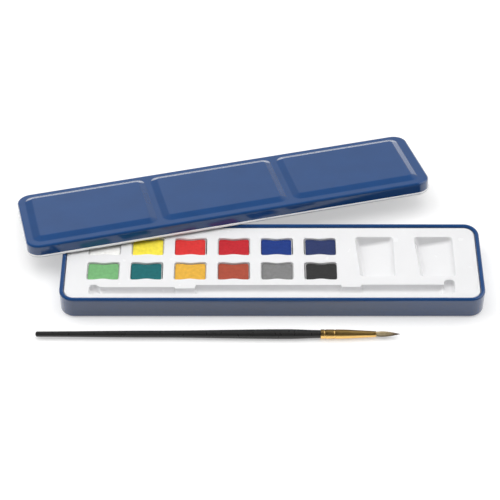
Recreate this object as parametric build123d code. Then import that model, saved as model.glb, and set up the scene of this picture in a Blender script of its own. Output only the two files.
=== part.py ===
from build123d import *
import math
import os

# A slim watercolour tin with its lid laid askew over it, and its brush on the table.
# Millimetres. The origin is the middle of the base tin's underside, on the table.
# X runs along the tin, Y from the front to the back, Z up.

# base tin
base_length = 250.0
base_width = 62.0
base_height = 15.6
base_corner_radius = 9.0
base_bottom_radius = 2.0
tin_sheet = 0.35
rim_roll_radius = 1.3
rim_roll_turn = 240.0

# lid tin, seen in its own frame with its open side down
lid_clearance = 0.2
lid_height = 8.3
lid_top_radius = 1.4
hem_radius = 0.75
hem_turn = 265.0
panel_left_margin = 6.95
panel_right_margin = 8.55
panel_side_margin = 7.05
left_panel_length = 72.0
right_panel_length = 77.0
left_bar = 6.2
right_bar = 5.8
panel_corner_radius = 5.5
panel_rise = 1.7
panel_slope_angle = 55.0
panel_crown_radius = 1.2
panel_foot_radius = 0.8

# where the lid lies
lid_middle_x = -28.4
lid_middle_y = 59.3
lid_turn = 13.0
rest_gap = 0.3
table_gap = 0.05

# colour tray
tray_gap = 0.25
tray_drop = 1.0
tray_plate = 1.0
tray_wall = 0.8
tray_skirt = 1.0
tray_lip = 0.3
tray_left_margin = 12.65
tray_right_margin = 12.95

# pockets for the half pans
pocket_length = 19.2
pocket_width = 14.5
pocket_corner_radius = 1.8
pocket_floor = 2.0
pocket_bump_reach = 0.95
pocket_bump_length = 12.0
pocket_bump_blend = 3.0
pocket_well_gap = 10.95
row_gap = 5.15

# half pans and the paint cakes in them
pan_length = 17.6
pan_side_gap = 0.25
pan_height = 11.2
pan_wall = 0.55
pan_floor = 0.8
pan_corner_radius = 1.2
cake_drop = 0.35
cake_edge = 0.3
cake_side_gap = 0.05
lift_gap = 0.1

# mixing wells, deep at the left and shallow at the right
well_length = 24.2
well_gap = 11.4
well_back_margin = 7.05
groove_well_gap = 6.1
well_slant = 2.2
well_corner_radius = 2.6
well_floor_radius = 1.6
well_deep = 6.4
well_shallow = 2.2
well_left_run = 3.4
well_back_run = 2.0
well_right_run = 1.4
well_front_run = 1.4

# brush groove: how far from the tray's left end each stretch starts, its width and its floor
groove_stretches = (
    (20.15, 5.8, 9.0),
    (22.35, 6.0, 7.4),
    (65.15, 5.0, 8.4),
    (76.65, 7.7, 7.4),
    (163.15, 6.2, 7.8),
    (174.15, 7.9, 7.4),
)
last_stretch_margin = 23.35
last_stretch_width = 7.1
last_stretch_floor = 9.0
groove_end_margin = 20.95
groove_front_margin = 2.55
groove_pocket_gap = 3.55

# finger notches at the groove's ends: margins from the tray's end and front edge
notch_floor = 7.4
notch_corner_radius = 2.8
left_notch_margin = 14.15
left_notch_length = 6.4
left_notch_front_margin = 1.95
left_notch_width = 8.5
right_notch_margin = 14.35
right_notch_length = 7.0
right_notch_front_margin = 3.15
right_notch_width = 11.3

# brush
brush_left = -137.9
brush_axis_y = -46.2
handle_length = 166.0
handle_end_radius = 1.6
handle_waist_radius = 2.05
handle_waist_at = 70.0
handle_belly_radius = 2.9
handle_belly_at = 147.0
handle_neck_radius = 2.35
handle_neck_slope = 0.05
handle_tip_round = 1.1
neck_land = 0.8
tenon_shoulder = 0.4
tenon_radius = 1.95
tenon_length = 12.0
ferrule_length = 32.2
ferrule_sheet = 0.25
ferrule_mouth_radius = 2.75
ferrule_waist_radius = 2.6
ferrule_waist_at = 16.0
ferrule_nose_radius = 1.7
crimp_places = (2.6, 8.4)
crimp_depth = 0.3
crimp_length = 1.6
tuft_length = 14.4
tuft_root_radius = 1.36
tuft_belly_radius = 1.6
tuft_belly_at = 3.6
tuft_tip_radius = 0.5
tuft_shoulder_at = 6.0
backing_depth = 1.6
hair_root_depth = 0.9
hair_count = 300
hair_root_size = 0.06
hair_belly_size = 0.07
hair_tip_size = 0.018
hair_tip_crowding = 1.25
golden_angle = math.pi * (3 - math.sqrt(5))

cake_names = (
    ("white", "yellow", "vermilion", "crimson", "ultramarine", "indigo"),
    ("light_green", "viridian", "ochre", "sienna", "grey", "black"),
)

# how far a loose pan has slid along its pocket
pan_shifts = {
    "vermilion": -0.45,
    "ultramarine": -0.35,
    "indigo": 0.4,
    "viridian": -0.4,
    "sienna": -0.15,
    "black": 0.45,
}

# how near two heights or places are to count as the same
closeness = 0.001

# sizes that follow from the ones above
lid_length = base_length + 2 * (lid_clearance + tin_sheet)
lid_width = base_width + 2 * (lid_clearance + tin_sheet)
lid_corner_radius = base_corner_radius + lid_clearance + tin_sheet
hem_middle = lid_width / 2 - tin_sheet + hem_radius
panel_depth = lid_width - 2 * panel_side_margin
left_panel_from = panel_left_margin - lid_length / 2
left_panel_to = left_panel_from + left_panel_length
right_panel_to = lid_length / 2 - panel_right_margin
right_panel_from = right_panel_to - right_panel_length
panel_edges = (
    (left_panel_from, left_panel_to),
    (left_panel_to + left_bar, right_panel_from - right_bar),
    (right_panel_from, right_panel_to),
)
tray_length = base_length - 2 * (2 * rim_roll_radius + tray_gap)
tray_width = base_width - 2 * (2 * rim_roll_radius + tray_gap)
tray_corner_radius = base_corner_radius - 2 * rim_roll_radius - tray_gap
tray_top = base_height - tray_drop
tray_left = -tray_length / 2
tray_right = tray_length / 2
tray_front = -tray_width / 2
tray_back = tray_width / 2
groove_front = tray_front + groove_front_margin
groove_back = groove_front + max(width for start, width, floor in groove_stretches)
front_row = groove_back + groove_pocket_gap + pocket_width / 2
row_places = (front_row + pocket_width + row_gap, front_row)
second_well = tray_right - tray_right_margin - well_length
first_well = second_well - well_gap - well_length
well_lefts = (first_well, second_well)
well_back = tray_back - well_back_margin
well_front = groove_back + groove_well_gap
first_column = tray_left + tray_left_margin + pocket_length / 2
last_column = first_well - pocket_well_gap - pocket_length / 2
column_pitch = (last_column - first_column) / (len(cake_names[0]) - 1)
pan_width = pocket_width - 2 * (pocket_bump_reach + pan_side_gap)
pan_bottom = pocket_floor + lift_gap
brush_axis_z = handle_belly_radius + table_gap


def rounded_block(length, width, radius, bottom, top):
    """An upright block with rounded corners between two heights."""
    outline = Pos(0, 0, bottom) * RectangleRounded(length, width, radius)
    return extrude(outline, amount=top - bottom)


def block_between(x_from, x_to, y_from, y_to, radius, bottom, top):
    """The same block, given by its four sides."""
    middle = Pos((x_from + x_to) / 2, (y_from + y_to) / 2, 0)
    return middle * rounded_block(x_to - x_from, y_to - y_from, radius, bottom, top)


def rolled_ring(length, width, corner_radius, height, roll_radius, first_angle, turn):
    """A sheet edge rolled up along a rounded rectangle; angle 0 points outwards and 90 up."""
    path = (Pos(0, 0, height) * RectangleRounded(length, width, corner_radius)).wire()
    start = path @ 0
    outwards = (path % 0).cross(Vector(0, 0, 1))
    if outwards.dot(Vector(start.X, start.Y, 0)) < 0:
        outwards = outwards * -1
    section_plane = Plane(origin=start, x_dir=outwards, z_dir=outwards.cross(Vector(0, 0, 1)))
    outer_arc = CenterArc((0, 0), roll_radius, first_angle, turn)
    inner_arc = CenterArc((0, 0), roll_radius - tin_sheet, first_angle, turn)
    first_end = Line(outer_arc @ 0, inner_arc @ 0)
    last_end = Line(outer_arc @ 1, inner_arc @ 1)
    section = make_face([outer_arc, first_end, inner_arc, last_end])
    return sweep(section_plane * section, path=path)


def make_base_tin():
    """Drawn tin with a rounded bottom edge and a rim rolled inwards."""
    wall_top = base_height - rim_roll_radius
    outside = rounded_block(base_length, base_width, base_corner_radius, 0, wall_top)
    outside = fillet(outside.edges().group_by(Axis.Z)[0], base_bottom_radius)
    inside = rounded_block(
        base_length - 2 * tin_sheet,
        base_width - 2 * tin_sheet,
        base_corner_radius - tin_sheet,
        tin_sheet,
        base_height,
    )
    inside = fillet(inside.edges().group_by(Axis.Z)[0], base_bottom_radius - tin_sheet)
    rim = rolled_ring(
        base_length - 2 * rim_roll_radius,
        base_width - 2 * rim_roll_radius,
        base_corner_radius - rim_roll_radius,
        wall_top,
        rim_roll_radius,
        0,
        rim_roll_turn,
    )
    return outside - inside + rim


def lid_form(inset, bottom):
    """The lid as a full block with three raised panels, made smaller all round by the inset."""
    top = lid_height - inset
    form = rounded_block(
        lid_length - 2 * inset,
        lid_width - 2 * inset,
        lid_corner_radius - inset,
        bottom,
        top,
    )
    form = fillet(form.edges().group_by(Axis.Z)[-1], lid_top_radius - inset)
    for left, right in panel_edges:
        outline = RectangleRounded(right - left, panel_depth, panel_corner_radius)
        placed = Pos((left + right) / 2, 0, top) * outline
        form += extrude(placed, amount=panel_rise, taper=panel_slope_angle)
    form = fillet(form.edges().group_by(Axis.Z)[-1], panel_crown_radius - inset)
    level = form.edges().filter_by(lambda edge: abs(edge.bounding_box().min.Z - top) < closeness)
    level = level.filter_by(lambda edge: abs(edge.bounding_box().max.Z - top) < closeness)
    feet = level.filter_by(lambda edge: abs(edge.center().Y) < panel_depth / 2 + closeness)
    feet = feet.filter_by(lambda edge: abs(edge.center().X) < panel_edges[-1][1] + closeness)
    return fillet(feet, panel_foot_radius + inset)


def make_lid_tin():
    """Drawn lid: three shallow wells pressed upwards, and a hem rolled outwards round its mouth."""
    outside = lid_form(0, hem_radius)
    inside = lid_form(tin_sheet, 0)
    growth = 2 * (hem_radius - tin_sheet)
    hem = rolled_ring(
        lid_length + growth,
        lid_width + growth,
        lid_corner_radius + growth / 2,
        hem_radius,
        hem_radius,
        180,
        hem_turn,
    )
    return outside - inside + hem


def lid_place():
    """The lid leans: its back hem is on the table and its front hem on the base tin's rim."""
    climb = base_height + rest_gap - table_gap
    tilt = math.asin(climb / (2 * hem_middle))
    height = (base_height + rest_gap + table_gap) / 2 + hem_radius * (1 - math.cos(tilt))
    place = Pos(lid_middle_x, lid_middle_y, height)
    return place * Rot(0, 0, lid_turn) * Rot(-math.degrees(tilt), 0, 0)


def pocket_cut(x, y):
    """One pocket, pinched in the middle of its front and back edges to hold its pan."""
    outline = RectangleRounded(pocket_length, pocket_width, pocket_corner_radius)
    half = pocket_bump_length / 2
    bump_radius = (half**2 + pocket_bump_reach**2) / (2 * pocket_bump_reach)
    bump_middle = pocket_width / 2 - pocket_bump_reach + bump_radius
    outline -= Pos(0, bump_middle) * Circle(bump_radius)
    outline -= Pos(0, -bump_middle) * Circle(bump_radius)
    corners = outline.vertices().filter_by(lambda vertex: abs(abs(vertex.X) - half) < closeness)
    outline = fillet(corners, pocket_bump_blend)
    return extrude(Pos(x, y, pocket_floor) * outline, amount=tray_top - pocket_floor)


def pocket_cup(x, y):
    """The moulded walls and floor round one pocket."""
    cup = rounded_block(
        pocket_length + 2 * tray_wall,
        pocket_width + 2 * tray_wall,
        pocket_corner_radius + tray_wall,
        pocket_floor - tray_wall,
        tray_top,
    )
    return Pos(x, y, 0) * cup


def well_form(left, growth):
    """One mixing well with its sloping floor, made larger all round by the growth."""
    right = left + well_length
    corners = (
        (left - growth, well_back + growth),
        (right + growth, well_back + growth),
        (right + growth, well_front - growth),
        (left + well_slant - growth, well_front - growth),
    )
    mouth = make_face(Polyline(*corners, close=True))
    mouth = fillet(mouth.vertices(), well_corner_radius + growth)
    floor_left = left + well_left_run - growth
    floor_right = right - well_right_run + growth
    floor_back = well_back - well_back_run + growth
    floor_front = well_front + well_front_run - growth
    run = floor_right - floor_left
    rise = well_deep - well_shallow
    slope = math.atan2(rise, run)
    floor_plane = Plane(
        origin=(floor_left, 0, tray_top - well_deep - growth),
        x_dir=(run, 0, rise),
        z_dir=(-rise, 0, run),
    )
    slope_length = run / math.cos(slope)
    floor_corners = (
        (0, floor_back),
        (slope_length, floor_back),
        (slope_length, floor_front),
        (well_slant / 2, floor_front),
    )
    floor = make_face(Polyline(*floor_corners, close=True))
    floor = floor_plane * fillet(floor.vertices(), well_floor_radius + growth)
    return loft([Pos(0, 0, tray_top) * mouth, floor])


def trough(x_from, x_to, y_from, y_to, bottom):
    """A trough with a round bottom along X, open at the tray's top."""
    radius = (y_to - y_from) / 2
    middle = (y_from + y_to) / 2
    side_bottom = bottom + radius
    section = Pos(middle, side_bottom) * Circle(radius)
    section += Pos(middle, (side_bottom + tray_top) / 2) * Rectangle(2 * radius, tray_top - side_bottom)
    return extrude(Plane.YZ.offset(x_from) * section, amount=x_to - x_from)


def left_notch():
    """Sides of the finger notch at the groove's left end."""
    x_from = tray_left + left_notch_margin
    y_from = tray_front + left_notch_front_margin
    return x_from, x_from + left_notch_length, y_from, y_from + left_notch_width


def right_notch():
    """Sides of the finger notch at the groove's right end."""
    x_to = tray_right - right_notch_margin
    y_from = tray_front + right_notch_front_margin
    return x_to - right_notch_length, x_to, y_from, y_from + right_notch_width


def groove_cut():
    """The brush groove: stretches of their own width and floor, and a finger notch at each end."""
    stretches = [(tray_left + start, width, floor) for start, width, floor in groove_stretches]
    stretches.append((tray_right - last_stretch_margin, last_stretch_width, last_stretch_floor))
    ends = [start for start, width, floor in stretches[1:]]
    ends.append(tray_right - groove_end_margin)
    cut = block_between(*left_notch(), notch_corner_radius, notch_floor, tray_top)
    cut += block_between(*right_notch(), notch_corner_radius, notch_floor, tray_top)
    for (start, width, floor), end in zip(stretches, ends):
        cut += trough(start, end, groove_front, groove_front + width, floor)
    return cut


def groove_shell():
    """The moulded walls under the brush groove, with a boss round the right notch."""
    left_from, left_to, left_front, left_back = left_notch()
    right_from, right_to, right_front, right_back = right_notch()
    bottom = notch_floor - tray_wall
    shell = block_between(
        left_from - tray_wall,
        right_to + tray_wall,
        left_front - tray_wall,
        left_back + tray_wall,
        notch_corner_radius,
        bottom,
        tray_top,
    )
    shell += block_between(
        right_from - tray_wall,
        right_to + tray_wall,
        left_front - tray_wall,
        right_back + tray_wall,
        notch_corner_radius,
        bottom,
        tray_top,
    )
    return shell


def pan_places():
    """Name, X and Y of each half pan, back row first."""
    places = []
    for names, y in zip(cake_names, row_places):
        for column, name in enumerate(names):
            x = first_column + column * column_pitch
            places.append((name, x, y))
    return places


def make_colour_tray():
    """Moulded tray: twelve pockets, two mixing wells and the brush groove in one sheet."""
    tray = rounded_block(tray_length, tray_width, tray_corner_radius, tin_sheet, tray_top)
    tray -= rounded_block(
        tray_length - 2 * tray_skirt,
        tray_width - 2 * tray_skirt,
        tray_corner_radius - tray_skirt,
        tin_sheet,
        tray_top - tray_plate,
    )
    for name, x, y in pan_places():
        tray += pocket_cup(x, y)
    tray += groove_shell()
    for left in well_lefts:
        tray += well_form(left, tray_wall)
    for name, x, y in pan_places():
        tray -= pocket_cut(x, y)
    for left in well_lefts:
        tray -= well_form(left, 0)
    tray -= groove_cut()
    lips = tray.edges().group_by(Axis.Z)[-1]
    return chamfer(lips, tray_lip)


def pan_form(inset, bottom, top):
    """The half pan's outline between two heights, made smaller all round by the inset."""
    return rounded_block(
        pan_length - 2 * inset,
        pan_width - 2 * inset,
        pan_corner_radius - inset,
        bottom,
        top,
    )


def make_half_pan():
    """A thin plastic cup, standing on the pocket's floor."""
    return pan_form(0, 0, pan_height) - pan_form(pan_wall, pan_floor, pan_height)


def make_cake():
    """The pressed paint that fills a half pan, with a worn top edge."""
    cake = pan_form(pan_wall + cake_side_gap, pan_floor, pan_height - cake_drop)
    return chamfer(cake.edges().group_by(Axis.Z)[-1], cake_edge)


def turned(outline_edges):
    """A solid of revolution about the brush's axis, from its outline above the axis."""
    section = Plane.XZ * make_face(outline_edges)
    solid = revolve(section, axis=Axis.X)
    return Pos(brush_left, brush_axis_y, brush_axis_z) * solid


def make_brush_handle():
    """Turned handle: slim at its end, full near the ferrule, with a tenon inside the ferrule."""
    halfway = math.sqrt(0.5)
    tip = ThreePointArc(
        (0, 0),
        (handle_tip_round * (1 - halfway), handle_end_radius * halfway),
        (handle_tip_round, handle_end_radius),
    )
    shaft = Spline(
        (handle_tip_round, handle_end_radius),
        (handle_waist_at, handle_waist_radius),
        (handle_belly_at, handle_belly_radius),
        tangents=((1, 0), (1, 0)),
    )
    shoulder = Spline(
        (handle_belly_at, handle_belly_radius),
        (handle_length, handle_neck_radius),
        tangents=((1, 0), (1, -handle_neck_slope)),
    )
    land_end = handle_length + neck_land
    tenon_end = handle_length + tenon_length
    rest = Polyline(
        (handle_length, handle_neck_radius),
        (land_end, handle_neck_radius),
        (land_end + tenon_shoulder, tenon_radius),
        (tenon_end, tenon_radius),
        (tenon_end, 0),
        (0, 0),
    )
    return turned([tip, shaft, shoulder, *rest.edges()])


def ferrule_side(inset):
    """One face of the ferrule's sheet, from the handle to the hair, with its two crimps."""
    start = handle_length
    radius = ferrule_mouth_radius - inset
    edges = []
    reached = start
    for place in crimp_places:
        crimp_from = start + place - crimp_length / 2
        crimp_to = start + place + crimp_length / 2
        crimp = Polyline(
            (reached, radius),
            (crimp_from, radius),
            (crimp_from + crimp_depth, radius - crimp_depth),
            (crimp_to - crimp_depth, radius - crimp_depth),
            (crimp_to, radius),
        )
        edges.extend(crimp.edges())
        reached = crimp_to
    taper = Polyline(
        (reached, radius),
        (start + ferrule_waist_at, ferrule_waist_radius - inset),
        (start + ferrule_length, ferrule_nose_radius - inset),
    )
    edges.extend(taper.edges())
    return edges


def make_brush_ferrule():
    """Seamless metal ferrule, crimped twice onto the handle."""
    outer = ferrule_side(0)
    inner = ferrule_side(ferrule_sheet)
    mouth = Line(
        (handle_length, ferrule_mouth_radius),
        (handle_length, ferrule_mouth_radius - ferrule_sheet),
    )
    nose_end = handle_length + ferrule_length
    nose = Line(
        (nose_end, ferrule_nose_radius),
        (nose_end, ferrule_nose_radius - ferrule_sheet),
    )
    return turned([*outer, nose, *inner, mouth])


def hair_triangle(along, radius, angle, size):
    """Corners of one hair's cross-section at a distance along the brush."""
    middle_y = radius * math.cos(angle)
    middle_z = radius * math.sin(angle)
    corners = []
    for corner in range(3):
        corner_angle = angle + corner * math.tau / 3
        corners.append(
            Vector(
                along,
                middle_y + size * math.cos(corner_angle),
                middle_z + size * math.sin(corner_angle),
            )
        )
    return corners


def mixed(first, last, share):
    """The value a share of the way from the first to the last."""
    return first + (last - first) * share


def make_hair(number):
    """One three-sided hair, rooted in the backing, widest at the belly and fine at its tip."""
    spread = math.sqrt((number + 0.5) / hair_count)
    angle = number * golden_angle
    root = handle_length + ferrule_length
    reach = mixed(tuft_length, tuft_shoulder_at, spread**hair_tip_crowding)
    tip_share = (reach - tuft_belly_at) / (tuft_length - tuft_belly_at)
    tip_radius = mixed(tuft_belly_radius, tuft_tip_radius, tip_share)
    rings = (
        hair_triangle(root - hair_root_depth, spread * tuft_root_radius, angle, hair_root_size),
        hair_triangle(root + tuft_belly_at, spread * tuft_belly_radius, angle, hair_belly_size),
        hair_triangle(root + reach, spread * tip_radius, angle, hair_tip_size),
    )
    faces = [Face(Wire.make_polygon(rings[0])), Face(Wire.make_polygon(rings[2]))]
    for near, far in zip(rings, rings[1:]):
        for corner in range(3):
            after = (corner + 1) % 3
            side = (near[corner], near[after], far[after], far[corner])
            faces.append(Face(Wire.make_polygon(side)))
    return Solid(Shell(faces))


def make_brush_tuft():
    """The hair: strands that share one slice of backing inside the ferrule's nose."""
    root = handle_length + ferrule_length
    backing = extrude(
        Plane.YZ.offset(root - backing_depth) * Circle(ferrule_nose_radius - ferrule_sheet),
        amount=backing_depth - hair_root_depth / 3,
    )
    hairs = [make_hair(number) for number in range(hair_count)]
    tuft = backing.solid().fuse(*hairs)
    return Pos(brush_left, brush_axis_y, brush_axis_z) * tuft


def write(name, shape):
    """Writes one piece under its own name."""
    shape.label = name
    export_step(shape, f"parts/{name}.step")


def main():
    os.makedirs("parts", exist_ok=True)
    write("base_tin", make_base_tin())
    write("lid_tin", lid_place() * make_lid_tin())
    write("colour_tray", make_colour_tray())
    pan = make_half_pan()
    cake = make_cake()
    for name, x, y in pan_places():
        place = Pos(x + pan_shifts.get(name, 0), y, pan_bottom)
        write("half_pan_" + name, place * pan)
        write("cake_" + name, place * cake)
    write("brush_handle", make_brush_handle())
    write("brush_ferrule", make_brush_ferrule())
    write("brush_tuft", make_brush_tuft())


if __name__ == "__main__":
    main()
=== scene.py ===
"""Watercolour paint box: a slim painted tin, its lid laid askew over it, and its brush."""

import math
import random

import bmesh
import bpy
from bpy.props import FloatProperty, FloatVectorProperty, IntProperty, PointerProperty
from mathutils import Matrix, Vector


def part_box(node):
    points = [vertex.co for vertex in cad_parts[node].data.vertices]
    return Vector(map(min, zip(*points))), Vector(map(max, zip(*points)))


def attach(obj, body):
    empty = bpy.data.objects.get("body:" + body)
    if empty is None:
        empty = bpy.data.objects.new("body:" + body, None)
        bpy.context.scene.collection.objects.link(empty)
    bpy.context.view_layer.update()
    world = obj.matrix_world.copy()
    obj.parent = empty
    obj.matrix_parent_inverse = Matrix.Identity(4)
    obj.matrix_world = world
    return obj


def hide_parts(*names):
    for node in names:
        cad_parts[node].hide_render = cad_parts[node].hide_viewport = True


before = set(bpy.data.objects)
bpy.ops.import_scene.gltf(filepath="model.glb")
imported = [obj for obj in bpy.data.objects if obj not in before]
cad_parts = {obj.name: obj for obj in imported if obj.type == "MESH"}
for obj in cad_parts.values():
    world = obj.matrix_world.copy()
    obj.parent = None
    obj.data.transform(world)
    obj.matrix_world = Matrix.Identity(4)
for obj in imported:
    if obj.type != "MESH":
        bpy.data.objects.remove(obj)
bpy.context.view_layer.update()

bl_info = {
    "name": "Watercolour Paint Box",
    "version": (1, 0, 0),
    "blender": (4, 5, 0),
    "location": "View3D > Sidebar > Paint Box",
    "description": "Models a slim watercolour tin with its colours and its brush",
    "category": "Add Mesh",
}

# metres in a millimetre, and how near two places are to count as the same
MM = 0.001
NEAR = 0.01 * MM

# steps of the round stretches: upright corners, edges, the rolled rim and the rolled hem,
# and cuts along a side that is drawn in
CORNER_STEPS = 12
EDGE_STEPS = 8
RIM_STEPS = 20
HEM_STEPS = 18
PINCH_CUTS = 23

BACK_ROW = ("white", "yellow", "vermilion", "crimson", "ultramarine", "indigo")
FRONT_ROW = ("light_green", "viridian", "ochre", "sienna", "grey", "black")

base_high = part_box("base_tin")[1]
tray_low, tray_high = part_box("colour_tray")
handle_low, handle_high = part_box("brush_handle")
ferrule_low, ferrule_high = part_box("brush_ferrule")
tuft_low, tuft_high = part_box("brush_tuft")


def length_property(name, description, millimetres):
    """A size, given in millimetres."""
    return FloatProperty(
        name=name, description=description, default=millimetres * MM, min=0.0, unit="LENGTH", precision=5
    )


def position_property(name, description, millimetres):
    """A distance from the middle to either side, given in millimetres."""
    return FloatProperty(name=name, description=description, default=millimetres * MM, unit="LENGTH")


def angle_property(name, description, degrees):
    """An angle, given in degrees."""
    return FloatProperty(
        name=name, description=description, default=math.radians(degrees), unit="ROTATION"
    )


def share_property(name, description, default):
    """A plain number, most often a share of something."""
    return FloatProperty(name=name, description=description, default=default)


def power_property(name, description, default):
    """The power of a light."""
    return FloatProperty(name=name, description=description, default=default, unit="POWER")


def spot_property(name, description, default):
    """A place in metres."""
    return FloatVectorProperty(
        name=name, description=description, default=default, subtype="TRANSLATION"
    )


def colour_property(name, description, default):
    """A colour of red, green and blue, as linear light."""
    return FloatVectorProperty(
        name=name, description=description, default=default, subtype="COLOR", min=0.0, max=1.0
    )


class TinSizes(bpy.types.PropertyGroup):
    """Sizes of the two drawn tins."""

    sheet: length_property("Sheet", "Thickness of the tin sheet", 0.35)
    corner: length_property("Corner", "Radius of the base tin's upright corners", 9.0)
    bottom: length_property("Bottom Edge", "Radius of the base tin's bottom edge", 2.0)
    rim: length_property("Rim", "Radius of the base tin's rolled rim", 1.3)
    rim_turn: angle_property("Rim Turn", "How far the base tin's rim is rolled", 240)
    fit: length_property("Fit", "Gap between the lid and the base tin at its ends", 0.0)
    side_fit: length_property("Side Fit", "Gap between the lid and the tin's long sides", 0.6)
    lid_height: length_property("Lid Height", "From the lid's mouth to its plate", 8.08)
    lid_edge: length_property("Lid Edge", "Radius of the lid's top edge", 1.4)
    hem: length_property("Hem", "Radius of the lid's rolled hem", 0.9)
    hem_turn: angle_property("Hem Turn", "How far the lid's hem is rolled", 250)
    hem_step: length_property("Hem Step", "How far the hem stands out from the wall", 0.45)
    panel_left: length_property("Left Margin", "From the lid's left wall to its first panel", 5.05)
    panel_right: length_property("Right Margin", "From the last panel to the lid's right wall", 6.55)
    panel_side: length_property("Side Margin", "From the panels to the lid's long walls", 5.25)
    left_panel: length_property("Left Panel", "Length of the left panel", 75.5)
    right_panel: length_property("Right Panel", "Length of the right panel", 79.6)
    left_bar: length_property("Left Bar", "From the left panel to the middle one", 3.3)
    right_bar: length_property("Right Bar", "From the middle panel to the right one", 3.4)
    panel_corner: length_property("Panel Corner", "Radius of the panels' corners", 5.5)
    panel_rise: length_property("Panel Rise", "How far the panels stand above the plate", 1.7)
    panel_slope: angle_property("Panel Slope", "Steepness of the panels' sides", 21.5)
    panel_crown: length_property("Panel Crown", "Radius of the panels' upper edges", 3.0)
    panel_foot: length_property("Panel Foot", "Radius of the panels' feet", 3.0)
    lid_x: position_property("Lid X", "Where the lid's middle lies along the tin", -29.55)
    lid_y: position_property("Lid Y", "Where the lid's middle lies behind the tin's middle", 58.31)
    lid_turn: angle_property("Lid Turn", "How far the lid is turned on the table", 13)
    rest_gap: length_property("Rest Gap", "From the base tin's rim to the lid's hem", 0.3)
    table_gap: length_property("Table Gap", "From the table to the lid's back hem", 0.05)


class TraySizes(bpy.types.PropertyGroup):
    """Sizes of the moulded tray."""

    wall: length_property("Wall", "Thickness of the moulding", 0.8)
    corner: length_property("Corner", "Radius of the tray's upright corners", 6.15)
    edge: length_property("Edge", "Rounding of the tray's outer edge", 0.5)
    lip: length_property("Lip", "Rounding of the edges of each hollow", 0.4)
    well_lip: length_property("Well Lip", "Rounding of the edges of a mixing well", 0.7)
    well_lip_turn: angle_property("Well Lip Turn", "How far that rounding turns down", 60)
    pocket_length: length_property("Pocket Length", "Length of a pocket", 20.0)
    pocket_width: length_property("Pocket Width", "Width of a pocket", 14.5)
    pocket_corner: length_property("Pocket Corner", "Radius of a pocket's corners", 1.8)
    pocket_floor: length_property("Pocket Floor", "Height of the pockets' floors", 2.0)
    pinch: length_property("Pinch", "How far a pocket is drawn in at its middle", 0.7)
    pinch_length: length_property("Pinch Length", "Length of the part drawn in", 13.0)
    left_margin: length_property("Left Margin", "From the tray's left end to the pockets", 12.25)
    pocket_well_gap: length_property("Pocket Gap", "From the last pocket to the first well", 10.55)
    well_length: length_property("Well Length", "Length of a mixing well", 24.2)
    well_gap: length_property("Well Gap", "From the first well to the second", 11.4)
    well_right: length_property("Well Margin", "From the wells to the tray's right end", 12.95)
    well_back: length_property("Well Back", "From the wells to the tray's back", 7.05)
    well_width: length_property("Well Width", "Width of a mixing well", 32.7)
    well_slant: length_property("Well Slant", "How far a well's left side leans", 2.2)
    well_corner: length_property("Well Corner", "Radius of a well's corners", 2.6)
    well_deep: length_property("Well Deep", "Depth of a well at its left", 6.4)
    well_shallow: length_property("Well Shallow", "Depth of a well at its right", 2.2)
    well_left_run: length_property("Left Run", "How far a well's left wall slopes in", 3.4)
    well_back_run: length_property("Back Run", "How far a well's back wall slopes in", 2.0)
    well_right_run: length_property("Right Run", "How far a well's right wall slopes in", 1.4)
    well_front_run: length_property("Front Run", "How far a well's front wall slopes in", 1.4)
    well_foot: length_property("Well Foot", "Rounding round a well's floor", 2.0)
    groove_floor: length_property("Groove Floor", "Height of the groove's deepest floor", 10.2)
    groove_foot: length_property("Groove Foot", "Rounding round the groove's floor", 1.8)
    groove_step: length_property("Groove Step", "Length of a step in the groove's floor", 1.8)
    notch_corner: length_property("Notch Corner", "Radius of the finger notches' corners", 2.8)


class ColourSizes(bpy.types.PropertyGroup):
    """Sizes of the half pans and the cakes in them."""

    pan_gap: length_property("Pan Gap", "From a half pan to its pocket's long sides", 0.2)
    pan_end_gap: length_property("Pan End Gap", "From a half pan to its pocket's ends", 0.5)
    pan_height: length_property("Pan Height", "Height of a half pan", 11.7)
    pan_wall: length_property("Pan Wall", "Thickness of a half pan's walls", 0.4)
    pan_floor: length_property("Pan Floor", "Thickness of a half pan's floor", 0.8)
    pan_corner: length_property("Pan Corner", "Radius of a half pan's corners", 1.7)
    pan_lip: length_property("Pan Lip", "Rounding of a half pan's rim", 0.12)
    cake_gap: length_property("Cake Gap", "From a cake to the walls of its pan", 0.05)
    cake_drop: length_property("Cake Drop", "From a half pan's rim to its cake", 0.12)
    cake_edge: length_property("Cake Edge", "Rounding of a cake's upper edge", 0.45)
    cake_wave: length_property("Cake Wave", "Unevenness of a cake's top", 0.12)
    cake_wave_length: length_property("Wave Length", "Size of the cakes' uneven spots", 3.0)
    cake_grain: length_property("Cake Grain", "Size of the facets of a cake", 0.34)


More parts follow.
